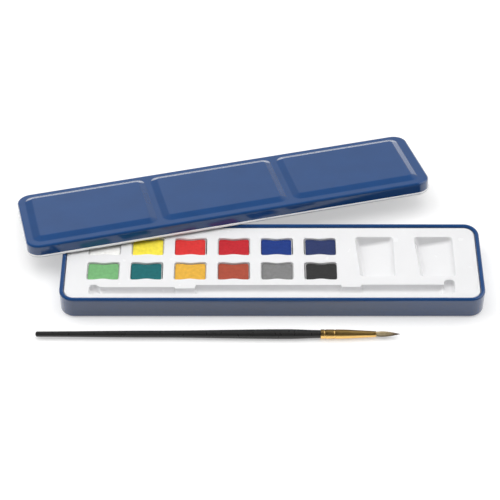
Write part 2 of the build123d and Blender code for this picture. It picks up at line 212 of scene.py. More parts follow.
class BrushSizes(bpy.types.PropertyGroup):
    """Sizes of the brush, from its handle's end."""

    end_radius: length_property("End", "Radius of the handle's end", 1.6)
    waist_radius: length_property("Waist", "Radius of the handle's waist", 2.05)
    waist_at: length_property("Waist Place", "From the handle's end to its waist", 70.0)
    belly_radius: length_property("Belly", "Radius of the handle's belly", 2.88)
    belly_at: length_property("Belly Place", "From the handle's end to its belly", 147.0)
    neck_radius: length_property("Neck", "Radius of the handle where the metal starts", 2.35)
    end_round: length_property("End Rounding", "Length of the handle's rounded end", 1.1)
    tenon_radius: length_property("Tenon", "Radius of the tenon in the metal", 1.95)
    tenon_step: length_property("Tenon Step", "Length of the slope down to the tenon", 1.2)
    mouth_radius: length_property("Mouth", "Radius of the ferrule at the handle", 2.75)
    middle_radius: length_property("Middle", "Radius of the ferrule halfway", 2.6)
    middle_at: length_property("Middle Place", "From the ferrule's mouth to its taper", 16.0)
    nose_radius: length_property("Nose", "Radius of the ferrule at the hair", 1.7)
    ferrule_sheet: length_property("Ferrule Sheet", "Thickness of the ferrule", 0.25)
    crimp_one: length_property("First Crimp", "From the ferrule's mouth to its first crimp", 2.6)
    crimp_two: length_property("Second Crimp", "From the ferrule's mouth to its second crimp", 8.4)
    crimp_depth: length_property("Crimp Depth", "Depth of the crimps", 0.2)
    crimp_length: length_property("Crimp Length", "Length of the crimps", 1.6)
    hair_root: length_property("Hair Root", "Radius of the hair at the metal", 1.4)
    hair_belly: length_property("Hair Belly", "Radius of the hair at its widest", 1.62)
    hair_belly_at: length_property("Hair Belly Place", "From the metal to the hair's belly", 3.6)
    hair_count: IntProperty(name="Hairs", description="How many hairs", default=900, min=1)
    hair_radius: length_property("Hair", "Radius of one hair", 0.055)
    hair_sunk: length_property("Hair Sunk", "How deep the hairs start in the metal", 0.4)
    hair_core: share_property("Hair Core", "Radius of the core as a share of the hair's", 0.93)
    hair_short: share_property("Short Hairs", "The most by which a hair is shorter, as a share", 0.30)


class FinishColours(bpy.types.PropertyGroup):
    """Colours of every finish."""

    tin_paint: colour_property("Tin Paint", "Gloss paint on both tins", (0.008, 0.056, 0.19))
    lacquer: colour_property("Lacquer", "Lacquer inside both tins", (0.93, 0.93, 0.94))
    tray: colour_property("Tray", "Plastic of the tray", (0.83, 0.83, 0.84))
    pan: colour_property("Pan", "Plastic of the half pans", (0.85, 0.85, 0.85))
    handle: colour_property("Handle", "Lacquer of the brush handle", (0.024, 0.024, 0.024))
    ferrule: colour_property("Ferrule", "Metal of the ferrule", (0.93, 0.60, 0.20))
    hair: colour_property("Hair", "Hair near the metal", (0.47, 0.38, 0.22))
    hair_tip: colour_property("Hair Tip", "Hair at the point", (0.095, 0.052, 0.034))
    white: colour_property("White", "Paint cake", (0.94, 0.93, 0.90))
    yellow: colour_property("Yellow", "Paint cake", (0.88, 0.74, 0.06))
    vermilion: colour_property("Vermilion", "Paint cake", (0.65, 0.028, 0.026))
    crimson: colour_property("Crimson", "Paint cake", (0.49, 0.012, 0.021))
    ultramarine: colour_property("Ultramarine", "Paint cake", (0.006, 0.034, 0.21))
    indigo: colour_property("Indigo", "Paint cake", (0.02, 0.034, 0.12))
    light_green: colour_property("Light Green", "Paint cake", (0.17, 0.42, 0.17))
    viridian: colour_property("Viridian", "Paint cake", (0.006, 0.13, 0.14))
    ochre: colour_property("Ochre", "Paint cake", (0.72, 0.40, 0.045))
    sienna: colour_property("Sienna", "Paint cake", (0.375, 0.066, 0.034))
    grey: colour_property("Grey", "Paint cake", (0.20, 0.20, 0.20))
    black: colour_property("Black", "Paint cake", (0.028, 0.028, 0.028))
    floor: colour_property("Floor", "Plain floor", (0.60, 0.60, 0.60))


class StageSettings(bpy.types.PropertyGroup):
    """The camera and the studio light."""

    camera_place: spot_property("Camera", "Where the camera stands", (-0.01301, -0.71177, 0.78839))
    camera_tilt: angle_property("Tilt", "How far the camera looks up from straight down", 43)
    lens: FloatProperty(
        name="Lens", description="Focal length of the camera", default=127.29 * MM, unit="CAMERA"
    )
    sky_edge: share_property("Sky Edge", "Light from the horizon", 0.42)
    sky_middle: share_property("Sky Middle", "Light from halfway up", 0.47)
    sky_top: share_property("Sky Top", "Light from above", 0.14)
    sky_front: share_property("Sky Front", "Light from the front as a share of that from behind", 0.2)
    sky_left: share_property("Sky Left", "Light from the left as a share of that from the right", 0.34)
    left_power: power_property("Left Light", "Power of the soft light at the left", 18.0)
    left_place: spot_property("Left Place", "Where the left light hangs", (-1.2, 0.35, 1.1))
    right_power: power_property("Right Light", "Power of the soft light at the right", 10.0)
    right_place: spot_property("Right Place", "Where the right light hangs", (1.3, 0.2, 1.0))
    top_power: power_property("Top Light", "Power of the soft light overhead", 22.0)
    top_place: spot_property("Top Place", "Where the overhead light hangs", (0.0, 0.05, 1.7))
    light_size: length_property("Light Size", "Side of the soft lights", 1800.0)
    floor_size: length_property("Floor Size", "Side of the floor", 30000.0)
    floor_lift: share_property("Floor Lift", "Brightness that the floor shows of itself", 0.44)


SETTINGS = {
    "paint_box_tins": TinSizes,
    "paint_box_tray": TraySizes,
    "paint_box_colours": ColourSizes,
    "paint_box_brush": BrushSizes,
    "paint_box_finish": FinishColours,
    "paint_box_stage": StageSettings,
}


# modelling helpers


def clear_selection():
    """Object mode with nothing selected."""
    if bpy.context.mode != "OBJECT":
        bpy.ops.object.mode_set(mode="OBJECT")
    bpy.ops.object.select_all(action="DESELECT")


def select_only(piece):
    """Selects one object and makes it the active one."""
    clear_selection()
    piece.select_set(True)
    bpy.context.view_layer.objects.active = piece


def join_into(piece, others):
    """Joins other objects into the piece."""
    select_only(piece)
    for other in others:
        other.select_set(True)
    bpy.ops.object.join()


def begin_drawing(name, start):
    """A new mesh in edit mode that holds one selected point."""
    clear_selection()
    bpy.ops.mesh.primitive_plane_add(size=MM, enter_editmode=True, location=(0, 0, 0))
    piece = bpy.context.object
    piece.name = name
    piece.data.name = name
    select_whole("VERT")
    bpy.ops.mesh.merge(type="CENTER")
    bpy.ops.transform.translate(value=start)
    return piece


def select_whole(kind):
    """Selects the whole mesh, in the mode for points, edges or faces."""
    bpy.ops.mesh.select_mode(type=kind)
    bpy.ops.mesh.select_all(action="SELECT")


def draw_by(step):
    """A straight line from the last point."""
    bpy.ops.mesh.extrude_region_move(TRANSFORM_OT_translate={"value": step})


def draw_arc(centre, degrees, steps, axis=(0, 1, 0)):
    """An arc from the last point, counter-clockwise about the axis."""
    bpy.ops.mesh.spin(steps=steps, angle=-math.radians(degrees), center=centre, axis=axis)


def run_round(half_length, half_width, corner):
    """Runs what is drawn at the right side once round a rounded rectangle."""
    across = half_length - corner
    along = half_width - corner
    stretches = (
        ((0, 2 * along, 0), (across, along, 0)),
        ((-2 * across, 0, 0), (-across, along, 0)),
        ((0, -2 * along, 0), (-across, -along, 0)),
        ((2 * across, 0, 0), (across, -along, 0)),
    )
    bpy.ops.mesh.select_all(action="SELECT")
    for step, centre in stretches:
        draw_by(step)
        draw_arc(centre, 90, CORNER_STEPS, axis=(0, 0, 1))
    merge_and_face_out()


def merge_and_face_out():
    """Joins doubled points and turns every face the same way, the top one up."""
    select_whole("VERT")
    bpy.ops.mesh.remove_doubles(threshold=0.1 * NEAR)
    bpy.ops.mesh.normals_make_consistent(inside=False)
    mesh = bmesh.from_edit_mesh(bpy.context.object.data)
    top = max(mesh.faces, key=lambda face: face.calc_center_median().z)
    if top.normal.z < 0:
        bpy.ops.mesh.flip_normals()


def end_drawing():
    """Tidies the faces of what is drawn and goes back to object mode."""
    merge_and_face_out()
    clear_selection()


def choose(piece, kind, test):
    """Selects the faces, edges or points of the piece that pass the test, and nothing else."""
    bpy.ops.mesh.select_mode(type=kind)
    bpy.ops.mesh.select_all(action="DESELECT")
    mesh = bmesh.from_edit_mesh(piece.data)
    parts = {"FACE": mesh.faces, "EDGE": mesh.edges, "VERT": mesh.verts}[kind]
    for part in parts:
        if test(part):
            part.select_set(True)
    mesh.select_flush_mode()
    bmesh.update_edit_mesh(piece.data)


def open_edge_at(height):
    """A test for the open edges that lie at one height."""
    return lambda edge: edge.is_boundary and all(abs(point.co.z - height) < NEAR for point in edge.verts)


def stretch_and_round(centre, length, width, corner, steps):
    """Stretches the selected unit square and rounds its corners."""
    bpy.ops.transform.resize(value=(length, width, 1), center_override=centre)
    bpy.ops.mesh.bevel(offset=corner, segments=steps, affect="VERTICES")
    bpy.ops.mesh.select_mode(type="FACE")


def add_rounded_face(centre, length, width, corner):
    """Adds a flat face with rounded corners, left selected."""
    bpy.ops.mesh.select_mode(type="VERT")
    bpy.ops.mesh.select_all(action="DESELECT")
    bpy.ops.mesh.primitive_plane_add(size=1, location=centre)
    stretch_and_round(centre, length, width, corner, EDGE_STEPS)


def begin_rounded_face(name, centre, length, width, corner, steps):
    """A new mesh in edit mode that holds one flat face with rounded corners."""
    clear_selection()
    bpy.ops.mesh.primitive_plane_add(size=1, enter_editmode=True, location=centre)
    bpy.ops.object.mode_set(mode="OBJECT")
    piece = bpy.context.object
    piece.name = name
    piece.data.name = name
    bpy.ops.object.transform_apply(location=True, rotation=True, scale=True)
    bpy.ops.object.mode_set(mode="EDIT")
    select_whole("VERT")
    stretch_and_round(centre, length, width, corner, steps)
    return piece


def inset_by(inwards, upwards):
    """Insets the selected face and moves it along its normal."""
    bpy.ops.mesh.inset(thickness=inwards, depth=upwards, use_even_offset=True)


def shares(steps, first=0):
    """Even shares up to 1, from the given step on."""
    return [step / steps for step in range(first, steps + 1)]


def inset_arc(radius, from_degrees, to_degrees, steps, sign=1):
    """Insets along an arc whose slope goes from one angle to the other."""
    angles = [math.radians(mixed(from_degrees, to_degrees, share)) for share in shares(steps)]
    for start, end in zip(angles, angles[1:]):
        inwards = radius * abs(math.sin(end) - math.sin(start))
        upwards = radius * abs(math.cos(start) - math.cos(end))
        inset_by(inwards, sign * upwards)


def mixed(first, last, share):
    """The value a share of the way from the first to the last."""
    return first + (last - first) * share


def eased(first, last, share):
    """The value between the first and the last on a curve that is flat at both ends."""
    return mixed(first, last, share * share * (3 - 2 * share))


def add_thickness(piece, thickness, inner_slot, even=True):
    """Gives a sheet its thickness on its inner side."""
    solid = piece.modifiers.new("Sheet", "SOLIDIFY")
    solid.thickness = thickness
    solid.offset = -1
    solid.use_even_offset = even
    solid.material_offset = inner_slot
    solid.material_offset_rim = inner_slot
    apply_modifier(piece, solid)


def apply_modifier(piece, modifier):
    """Applies one modifier to the piece's mesh."""
    select_only(piece)
    bpy.ops.object.modifier_apply(modifier=modifier.name)


def smooth(piece, degrees=35, weighted=True):
    """Smooth shading that keeps sharp edges and flat faces."""
    select_only(piece)
    bpy.ops.object.shade_smooth_by_angle(angle=math.radians(degrees))
    if weighted:
        even = piece.modifiers.new("Even", "WEIGHTED_NORMAL")
        even.keep_sharp = True
        apply_modifier(piece, even)


def place(piece, matrix):
    """Moves the piece's mesh and leaves the object at the origin."""
    select_only(piece)
    piece.matrix_world = matrix
    bpy.ops.object.transform_apply(location=True, rotation=True, scale=True)


def finish_piece(piece, body, slot, nodes):
    """Gives the piece the finish named by the slot unless it has finishes already, hangs it on its body
    and hides the nodes it stands for.
    """
    clear_selection()
    if not piece.data.materials:
        piece.data.materials.append(finish_named(slot))
    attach(piece, body)
    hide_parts(*nodes)


def coat_tin(piece):
    """Gives a drawn tin its two finishes, the paint outside and the lacquer inside."""
    for name in ("painted_tin", "lacquered_tin"):
        piece.data.materials.append(finish_named(name))


# finishes


class Nodes:
    """The nodes of a material or a world, with short ways to add and link them."""

    def __init__(self, owner):
        """Turns on the nodes of a material or a world."""
        owner.use_nodes = True
        self.tree = owner.node_tree

    def add(self, kind, **values):
        """Adds a node and sets its values."""
        node = self.tree.nodes.new(kind)
        for name, value in values.items():
            if name in node.inputs:
                node.inputs[name].default_value = value
            else:
                setattr(node, name, value)
        return node

    def join(self, output, socket):
        """Links an output to an input."""
        self.tree.links.new(output, socket)

    def ramp(self, value, stops):
        """A colour ramp over a value."""
        node = self.add("ShaderNodeValToRGB")
        elements = node.color_ramp.elements
        while len(elements) < len(stops):
            elements.new(0.5)
        for element, (position, colour) in zip(elements, stops):
            element.position = position
            element.color = (*colour, 1)
        self.join(value, node.inputs["Fac"])
        return node.outputs["Color"]

    def ranged(self, value, low, high, from_low=0.3, from_high=0.7):
        """A value mapped onto a new range."""
        limits = {"From Min": from_low, "From Max": from_high, "To Min": low, "To Max": high}
        node = self.add("ShaderNodeMapRange", **limits)
        self.join(value, node.inputs["Value"])
        return node.outputs["Result"]

    def reckon(self, operation, first, second):
        """Adds or multiplies two outputs, up to 1."""
        node = self.add("ShaderNodeMath", operation=operation, use_clamp=True)
        self.join(first, node.inputs[0])
        self.join(second, node.inputs[1])
        return node.outputs[0]


class Finish(Nodes):
    """One material, built round a principled shader. Sizes of grains and depths are in metres."""

    def __init__(self, name, **constants):
        """Starts a material with the constant values of its shader."""
        self.material = bpy.data.materials.new(name)
        super().__init__(self.material)
        self.shader = self.tree.nodes["Principled BSDF"]
        for key, value in constants.items():
            self.shader.inputs[key.replace("_", " ")].default_value = value
        self.place = self.add("ShaderNodeTexCoord").outputs["Object"]
        self.relief = None

    def show(self, name, output):
        """Links an output to one of the shader's inputs."""
        self.join(output, self.shader.inputs[name])

    def stretched(self, scale):
        """Object coordinates, scaled along each axis."""
        mapping = self.add("ShaderNodeMapping", Scale=scale)
        self.join(self.place, mapping.inputs["Vector"])
        return mapping.outputs["Vector"]

    def noise(self, size, detail, vector=None):
        """A noise with grains of the given size."""
        texture = self.add("ShaderNodeTexNoise", Scale=1 / size, Detail=detail)
        self.join(vector or self.place, texture.inputs["Vector"])
        return texture.outputs["Fac"]

    def vary_colour(self, colour, amount, size):
        """Lets the colour drift to darker and lighter shades."""
        darker = tuple(part * (1 - amount) for part in colour)
        lighter = tuple(min(1.0, part * (1 + amount)) for part in colour)
        self.show("Base Color", self.ramp(self.noise(size, 3.0), ((0.3, darker), (0.7, lighter))))

    def vary_roughness(self, low, high, size, detail=3.0, vector=None):
        """Lets the roughness drift between two values."""
        self.show("Roughness", self.ranged(self.noise(size, detail, vector), low, high))

    def emboss(self, depth, size, detail=2.0, vector=None):
        """Lays a bump of the given depth over those laid before."""
        bump = self.add("ShaderNodeBump", Distance=depth)
        self.join(self.noise(size, detail, vector), bump.inputs["Height"])
        if self.relief:
            self.join(self.relief, bump.inputs["Normal"])
        self.relief = bump.outputs["Normal"]
        self.show("Normal", self.relief)


def painted_tin(name, colour):
    """Gloss paint on drawn tin, with the faint waviness of sprayed paint."""
    finish = Finish(name, IOR=1.5, Coat_Weight=0.85, Coat_IOR=1.5, Coat_Roughness=0.06)
    finish.vary_colour(colour, 0.05, 18 * MM)
    finish.vary_roughness(0.09, 0.15, 9 * MM)
    finish.emboss(0.003 * MM, 6 * MM)
    finish.emboss(0.0004 * MM, 0.9 * MM)
    return finish.material


def lacquered_tin(name, colour):
    """Pale lacquer on the tin's inside."""
    finish = Finish(name, IOR=1.5)
    finish.vary_colour(colour, 0.02, 14 * MM)
    finish.vary_roughness(0.22, 0.32, 5 * MM)
    finish.emboss(0.0015 * MM, 0.6 * MM)
    return finish.material


def moulded_plastic(name, colour, roughness, clearness=0.0, softness=0.0):
    """Moulded plastic with a faint grain, which light enters or passes a little."""
    finish = Finish(
        name, IOR=1.5, Transmission_Weight=clearness, Subsurface_Weight=softness,
        Subsurface_Scale=3 * MM, Subsurface_Radius=(1, 1, 1),
    )
    finish.vary_colour(colour, 0.012, 25 * MM)
    finish.vary_roughness(roughness * 0.85, roughness * 1.15, 7 * MM)
    finish.emboss(0.008 * MM, 8 * MM, detail=1.0)
    finish.emboss(0.001 * MM, 0.25 * MM)
    return finish.material


def pressed_paint(name, colour):
    """A pressed cake of watercolour: fine grain, slight mottling and a soft sheen."""
    finish = Finish(name, IOR=1.45)
    finish.vary_colour(colour, 0.09, 2.2 * MM)
    finish.vary_roughness(0.38, 0.6, 1.2 * MM)
    finish.emboss(0.05 * MM, 2.4 * MM, detail=3.0)
    finish.emboss(0.008 * MM, 0.22 * MM, detail=3.0)
    return finish.material


def handle_lacquer(name, colour):
    """Dipped lacquer over turned wood."""
    finish = Finish(name, IOR=1.5)
    finish.vary_colour(colour, 0.05, 8 * MM)
    finish.vary_roughness(0.26, 0.36, 3 * MM)
    finish.emboss(0.0004 * MM, 0.35 * MM, vector=finish.stretched((0.06, 1, 1)))
    return finish.material


def drawn_metal(name, colour):
    """Brass-coloured metal with fine turned lines round it."""
    finish = Finish(name, Metallic=1.0)
    finish.vary_colour(colour, 0.06, 4 * MM)
    crosswise = finish.stretched((1, 0.04, 0.04))
    finish.vary_roughness(0.3, 0.38, 0.5 * MM, detail=2.0, vector=crosswise)
    finish.emboss(0.0005 * MM, 0.2 * MM, vector=crosswise)
    return finish.material


def soft_hair(name, colour, tip_colour):
    """Fine hair, darker towards its point, with streaks along it."""
    finish = Finish(name, Roughness=0.42, IOR=1.5)
    split = finish.add("ShaderNodeSeparateXYZ")
    finish.join(finish.place, split.inputs["Vector"])
    along = finish.ranged(split.outputs["X"], 0.0, 1.0, tuft_low.x, tuft_high.x)
    middle = tuple(mixed(a, b, 0.35) for a, b in zip(colour, tip_colour))
    body = finish.ramp(along, ((0.2, colour), (0.62, middle), (0.85, tip_colour)))
    streaks = finish.noise(0.12 * MM, 2.0, finish.stretched((0.03, 1, 1)))
    tint = finish.add("ShaderNodeMix", data_type="RGBA", blend_type="MULTIPLY", Factor=1.0)
    finish.join(body, tint.inputs["A"])
    finish.join(finish.ranged(streaks, 0.72, 1.4), tint.inputs["B"])
    finish.show("Base Color", tint.outputs["Result"])
    return finish.material


def finish_named(name):
    """Makes a finish at its first use and finds it later."""
    label = name + "_finish"
    found = bpy.data.materials.get(label)
    if found:
        return found
    colours = bpy.context.scene.paint_box_finish
    if name == "painted_tin":
        return painted_tin(label, colours.tin_paint)
    if name == "lacquered_tin":
        return lacquered_tin(label, colours.lacquer)
    if name == "tray_plastic":
        return moulded_plastic(label, colours.tray, 0.24, softness=0.3)
    if name == "pan_plastic":
        return moulded_plastic(label, colours.pan, 0.3, clearness=0.25, softness=0.4)
    if name == "handle_lacquer":
        return handle_lacquer(label, colours.handle)
    if name == "ferrule_metal":
        return drawn_metal(label, colours.ferrule)
    if name == "brush_hair":
        return soft_hair(label, colours.hair, colours.hair_tip)
    return pressed_paint(label, getattr(colours, name.replace("paint_", "")))


# pieces


class PAINTBOX_OT_base_tin(bpy.types.Operator):
    """Model the drawn base tin with its rolled rim"""

    bl_idname = "paint_box.base_tin"
    bl_label = "Base Tin"
    bl_options = {"REGISTER", "UNDO"}

    def execute(self, context):
        """Draws the wall's section, runs it round and closes the bottom."""
        sizes = context.scene.paint_box_tins
        half_length = base_high.x
        half_width = base_high.y
        roll_x = half_length - sizes.rim
        roll_z = base_high.z - sizes.rim
        front = sizes.corner - half_width
        end = math.tau - sizes.rim_turn
        start = (roll_x + sizes.rim * math.cos(end), front, roll_z - sizes.rim * math.sin(end))
        piece = begin_drawing("base_tin_shell", start)
        draw_arc((roll_x, front, roll_z), math.degrees(sizes.rim_turn), RIM_STEPS)
        draw_by((0, 0, sizes.bottom - roll_z))
        draw_arc((half_length - sizes.bottom, front, sizes.bottom), 90, EDGE_STEPS)
        run_round(half_length, half_width, sizes.corner)
        choose(piece, "EDGE", open_edge_at(0))
        bpy.ops.mesh.edge_face_add()
        end_drawing()
        coat_tin(piece)
        add_thickness(piece, sizes.sheet, 1)
        smooth(piece)
        finish_piece(piece, "tin", "base_paint", ["base_tin"])
        return {"FINISHED"}


def lid_placement(sizes):
    """How the lid leans: its back hem on the table, its front hem on the base tin's rim."""
    hem_middle = base_high.y + sizes.side_fit + sizes.sheet - sizes.hem
    climb = base_high.z + sizes.rest_gap - sizes.table_gap
    tilt = math.asin(climb / (2 * hem_middle))
    height = (base_high.z + sizes.rest_gap + sizes.table_gap) / 2 + sizes.hem * (1 - math.cos(tilt))
    moved = Matrix.Translation((sizes.lid_x, sizes.lid_y, height))
    return moved @ Matrix.Rotation(sizes.lid_turn, 4, "Z") @ Matrix.Rotation(-tilt, 4, "X")


def press_panel(sizes, start, end, depth):
    """One raised panel of the lid's plate, from start to end along the lid."""
    slope = math.degrees(sizes.panel_slope)
    foot_reach = sizes.panel_foot * math.tan(sizes.panel_slope / 2)
    arcs_rise = (sizes.panel_foot + sizes.panel_crown) * (1 - math.cos(sizes.panel_slope))
    slope_rise = sizes.panel_rise - arcs_rise
    add_rounded_face(
        ((start + end) / 2, 0, sizes.lid_height),
        end - start + 2 * foot_reach,
        depth + 2 * foot_reach,
        sizes.panel_corner + foot_reach,
    )
    inset_arc(sizes.panel_foot, 0, slope, EDGE_STEPS)
    inset_by(slope_rise / math.tan(sizes.panel_slope), slope_rise)
    inset_arc(sizes.panel_crown, slope, 0, EDGE_STEPS)


class PAINTBOX_OT_lid_tin(bpy.types.Operator):
    """Model the drawn lid with its three raised panels and its rolled hem"""

    bl_idname = "paint_box.lid_tin"
    bl_label = "Lid"
    bl_options = {"REGISTER", "UNDO"}

    def execute(self, context):
        """Draws the wall's section, runs it round and fills the plate with raised panels."""
        sizes = context.scene.paint_box_tins
        half_length = base_high.x + sizes.fit + sizes.sheet
        half_width = base_high.y + sizes.side_fit + sizes.sheet
        corner = sizes.corner + sizes.fit + sizes.sheet
        edge = half_length - sizes.hem_step - sizes.lid_edge
        hem_start = math.acos(1 - sizes.hem_step / sizes.hem)
        hem_height = sizes.hem * (1 + math.sin(hem_start))
        front = corner - half_width
        top = sizes.lid_height
        piece = begin_drawing("lid_tin_shell", (edge, front, top))
        draw_arc((edge, front, top - sizes.lid_edge), 90, EDGE_STEPS)
        draw_by((0, 0, hem_height - top + sizes.lid_edge))
        hem_centre = (half_length - sizes.hem, front, sizes.hem)
        draw_arc(hem_centre, math.degrees(sizes.hem_turn), HEM_STEPS)
        run_round(half_length, half_width, corner)
        depth = 2 * (half_width - sizes.panel_side)
        left = sizes.panel_left - half_length
        right = half_length - sizes.panel_right
        panels = (
            (left, left + sizes.left_panel),
            (left + sizes.left_panel + sizes.left_bar, right - sizes.right_panel - sizes.right_bar),
            (right - sizes.right_panel, right),
        )
        for start, end in panels:
            press_panel(sizes, start, end, depth)
        choose(piece, "EDGE", open_edge_at(top))
        bpy.ops.mesh.fill(use_beauty=True)
        end_drawing()
        coat_tin(piece)
        for face in piece.data.polygons:
            face.material_index = int(face.center.z < hem_height)
        add_thickness(piece, sizes.sheet, 1)
        smooth(piece)
        place(piece, lid_placement(sizes))
        finish_piece(piece, "lid", "lid_paint", ["lid_tin"])
        return {"FINISHED"}


# outline of the brush groove with a finger notch at each end, in millimetres from the tray's
# front left corner
GROOVE_OUTLINE = (
    (14.15, 1.95), (17.7, 1.95), (20.6, 2.55), (221.6, 2.55), (224.4, 3.15), (229.95, 3.15),
    (229.95, 14.45), (222.95, 14.45), (222.95, 10.45), (174.45, 10.45), (173.85, 8.75),
    (163.45, 8.75), (162.85, 10.25), (76.95, 10.25), (76.35, 7.55), (65.45, 7.55),
    (64.85, 8.55), (21.4, 8.55), (18.4, 10.45), (14.15, 10.45),
)

# numbers of that outline's corners that are rounded
ROUND_CORNERS = (0, 5, 6, 7, 19)

# stretches of the groove with a raised floor, in millimetres: start, end and floor height
RAISED_FLOORS = (
    (20.15, 22.35, 11.3),
    (65.15, 76.65, 11.0),
    (163.15, 174.15, 10.8),
    (220.95, 223.35, 11.3),
)


def sink(sizes, floor, foot, foot_steps):
    """Takes the selected face of the plate down to a floor, with a rounded lip and foot."""
    inset_arc(sizes.lip, 0, 90, steps=4, sign=-1)
    draw_by((0, 0, floor + foot - tray_high.z + sizes.lip))
    inset_arc(foot, 90, 0, foot_steps, sign=-1)


def make_groove(sizes):
    """The brush groove: one outline, rounded down to a floor that is then raised in places."""
    corner = Vector((tray_low.x, tray_low.y, tray_high.z))
    outline = [corner + Vector((x * MM, y * MM, 0)) for x, y in GROOVE_OUTLINE]
    piece = begin_drawing("groove", outline[0])
    for start, end in zip(outline, outline[1:]):
        draw_by(end - start)
    bpy.ops.mesh.select_all(action="SELECT")
    bpy.ops.mesh.edge_face_add()
    rounded = [outline[number] for number in ROUND_CORNERS]
    choose(piece, "VERT", lambda point: any((point.co - spot).length < NEAR for spot in rounded))
    bpy.ops.mesh.bevel(offset=sizes.notch_corner, segments=7, affect="VERTICES")
    select_whole("FACE")
    if any(face.normal.z < 0 for face in bmesh.from_edit_mesh(piece.data).faces):
        bpy.ops.mesh.flip_normals()
    sink(sizes, sizes.groove_floor, sizes.groove_foot, foot_steps=6)
    for start, end, floor in RAISED_FLOORS:
        raise_floor(piece, sizes, start * MM, end * MM, floor * MM)
    return piece


def raise_floor(piece, sizes, start, end, floor):
    """Raises a stretch of the groove's floor, with a slope at each end."""
    half_step = sizes.groove_step / 2
    below = tray_high.z - sizes.lip - NEAR
    for edge in (start - half_step, start + half_step, end - half_step, end + half_step):
        bpy.ops.mesh.select_all(action="SELECT")
        bpy.ops.mesh.bisect(plane_co=(tray_low.x + edge, 0, 0), plane_no=(1, 0, 0))
    first = tray_low.x + start + half_step - 10 * NEAR
    last = tray_low.x + end - half_step + 10 * NEAR
    choose(piece, "VERT", lambda point: first < point.co.x < last and point.co.z < below)
    bpy.ops.transform.translate(value=(0, 0, floor - sizes.groove_floor))
    bpy.ops.mesh.select_mode(type="VERT")


def begin_pinched_face(name, centre, length, width, corner, steps):
    """A new flat face with rounded corners, drawn in at the middle of its long sides."""
    sizes = bpy.context.scene.paint_box_tray
    piece = begin_rounded_face(name, centre, length, width, corner, steps)
    for side in (1, -1):
        middle = Vector(centre) + Vector((0, side * width / 2, 0))
        choose(piece, "EDGE", lambda edge: all(abs(point.co.y - middle.y) < NEAR for point in edge.verts))
        bpy.ops.mesh.subdivide(number_cuts=PINCH_CUTS)
        choose(piece, "VERT", lambda point: (point.co - middle).length < 10 * NEAR)
        bpy.ops.transform.translate(
            value=(0, -side * sizes.pinch, 0),
            use_proportional_edit=True,
            proportional_edit_falloff="SMOOTH",
            proportional_size=sizes.pinch_length / 2,
        )
    select_whole("FACE")
    return piece


def make_pocket(sizes):
    """One pocket at the origin, drawn in at the middle of its long sides."""
    centre = (0, 0, tray_high.z)
    piece = begin_pinched_face(
        "pocket", centre, sizes.pocket_length, sizes.pocket_width, sizes.pocket_corner, steps=8
    )
    sink(sizes, sizes.pocket_floor, sizes.lip, foot_steps=3)
    clear_selection()
    return piece


def make_well(sizes, left):
    """One mixing well with sloping sides and a floor that rises to the right."""
    top = tray_high.z
    back = tray_high.y - sizes.well_back
    middle = Vector((left + sizes.well_length / 2, back - sizes.well_width / 2, top))
    clear_selection()
    bpy.ops.mesh.primitive_plane_add(size=1, location=middle)
    piece = bpy.context.object
    piece.scale = (sizes.well_length, sizes.well_width, 1)
    bpy.ops.object.transform_apply(location=True, rotation=True, scale=True)
    bpy.ops.object.mode_set(mode="EDIT")
    choose(piece, "VERT", lambda point: point.co.x < middle.x and point.co.y < middle.y)
    bpy.ops.transform.translate(value=(sizes.well_slant, 0, 0))
    bpy.ops.mesh.select_all(action="SELECT")
    bpy.ops.mesh.bevel(offset=sizes.well_corner, segments=8, affect="VERTICES")
    bpy.ops.mesh.select_mode(type="FACE")
    inset_arc(sizes.well_lip, 0, math.degrees(sizes.well_lip_turn), steps=5, sign=-1)
    lip_run = sizes.well_lip * math.sin(sizes.well_lip_turn)
    run_x = sizes.well_left_run + sizes.well_right_run - 2 * lip_run
    run_y = sizes.well_back_run + sizes.well_front_run - 2 * lip_run
    floor_length = sizes.well_length - 2 * lip_run
    floor_width = sizes.well_width - 2 * lip_run
    slope = math.atan2(sizes.well_deep - sizes.well_shallow, floor_length - run_x)
    mean_depth = (sizes.well_deep + sizes.well_shallow) / 2
    draw_by((0, 0, -mean_depth))
    bpy.ops.transform.resize(
        value=((floor_length - run_x) / floor_length, (floor_width - run_y) / floor_width, 1),
        center_override=middle,
    )
    shift_x = (sizes.well_left_run - sizes.well_right_run) / 2
    shift_y = (sizes.well_front_run - sizes.well_back_run) / 2
    bpy.ops.transform.translate(value=(shift_x, shift_y, 0))
    pivot = middle + Vector((shift_x, shift_y, -mean_depth))
    bpy.ops.transform.rotate(
        value=slope, orient_axis="Y", orient_type="GLOBAL", center_override=pivot
    )
    bpy.ops.mesh.select_mode(type="EDGE")
    bpy.ops.mesh.region_to_loop()
    bpy.ops.mesh.bevel(offset=sizes.well_foot, segments=6, affect="EDGES", clamp_overlap=True)
    clear_selection()
    return piece


